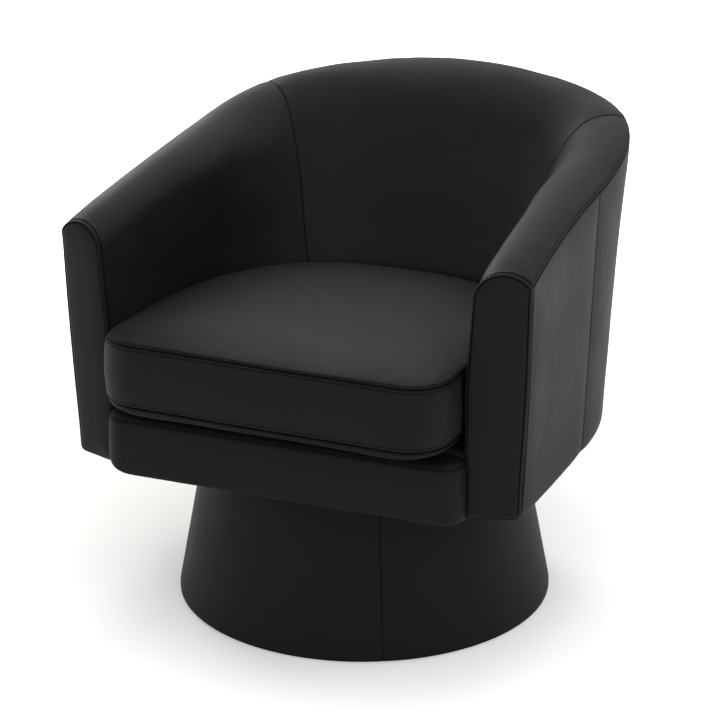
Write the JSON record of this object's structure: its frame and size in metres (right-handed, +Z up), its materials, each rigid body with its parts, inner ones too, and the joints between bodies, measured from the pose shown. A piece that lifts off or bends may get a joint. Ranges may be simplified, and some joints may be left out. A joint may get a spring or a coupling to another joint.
{
  "type": "swivel barrel chair",
  "caption": "Upholstered barrel armchair in black leather with a loose seat cushion, turning on a leather-covered conical base.",
  "frame": {"origin": "on the swivel axis, at the floor", "axes": "+Z up along the swivel axis; -Y towards the front of the seat; +X towards the sitter's left arm"},
  "size_m": [0.7, 0.8108, 0.7187],
  "materials": {
    "black_leather": "smooth black upholstery leather, satin",
    "seat_foam": "cut polyurethane foam",
    "plywood": "unfinished birch plywood",
    "hardwood": "planed hardwood",
    "bent_board": "bent hardboard",
    "zinc_steel": "zinc plated pressed steel",
    "ball_steel": "polished bearing steel",
    "cage_plastic": "moulded nylon",
    "glide_plastic": "moulded polyethylene",
    "webbing": "woven elastic webbing",
    "felt": "needled felt",
    "black_cloth": "non-woven black cloth"
  },
  "bodies": {
    "base": {"base_glides": "glide_plastic", "base_floor_ring": "plywood", "base_uprights": "hardwood", "base_top_disc": "plywood", "base_former": "bent_board", "base_cover_front": "black_leather", "base_cover_back": "black_leather", "swivel_lower_plate": "zinc_steel", "swivel_rivet": "zinc_steel", "lower_plate_screws": "zinc_steel"},
    "bearing_ring": {"swivel_balls": "ball_steel", "swivel_cage": "cage_plastic"},
    "tub": {"swivel_upper_plate": "zinc_steel", "upper_plate_bolts": "zinc_steel", "tee_nuts": "zinc_steel", "tub_floor_board": "plywood", "dust_cover": "black_cloth", "front_rail": "hardwood", "front_rail_pad": "seat_foam", "front_rail_cover": "black_leather", "seat_frame": "plywood", "seat_frame_blocks": "hardwood", "long_webbing": "webbing", "cross_webbing": "webbing", "deck_felt": "felt", "deck_cloth": "black_cloth", "back_shell": "plywood", "back_pad": "seat_foam", "inside_back_cover": "black_leather", "outside_back_cover": "black_leather", "left_arm_frame": "plywood", "left_arm_pad": "seat_foam", "inside_left_cover": "black_leather", "outside_left_cover": "black_leather", "left_arm_front": "black_leather", "right_arm_frame": "plywood", "right_arm_pad": "seat_foam", "inside_right_cover": "black_leather", "outside_right_cover": "black_leather", "right_arm_front": "black_leather"},
    "seat_cushion": {"cushion_core": "seat_foam", "cushion_top_panel": "black_leather", "cushion_border_panel": "black_leather", "cushion_bottom_panel": "black_leather"}
  },
  "joints": [
    {"name": "swivel", "type": "hinge", "parent": "base", "child": "tub", "pos_m": [0, 0, 0.2555], "axis": [0, 0, 1], "continuous": true},
    {"name": "bearing_roll", "type": "hinge", "parent": "base", "child": "bearing_ring", "pos_m": [0, 0, 0.2555], "axis": [0, 0, 1], "continuous": true},
    {"name": "cushion_lift", "type": "slide", "parent": "tub", "child": "seat_cushion", "axis": [0, 0, 1], "range_m": [0, 0.45]}
  ],
  "couplings": [
    {"joint": "bearing_roll", "follows": "swivel", "ratio": 0.5}
  ]
}
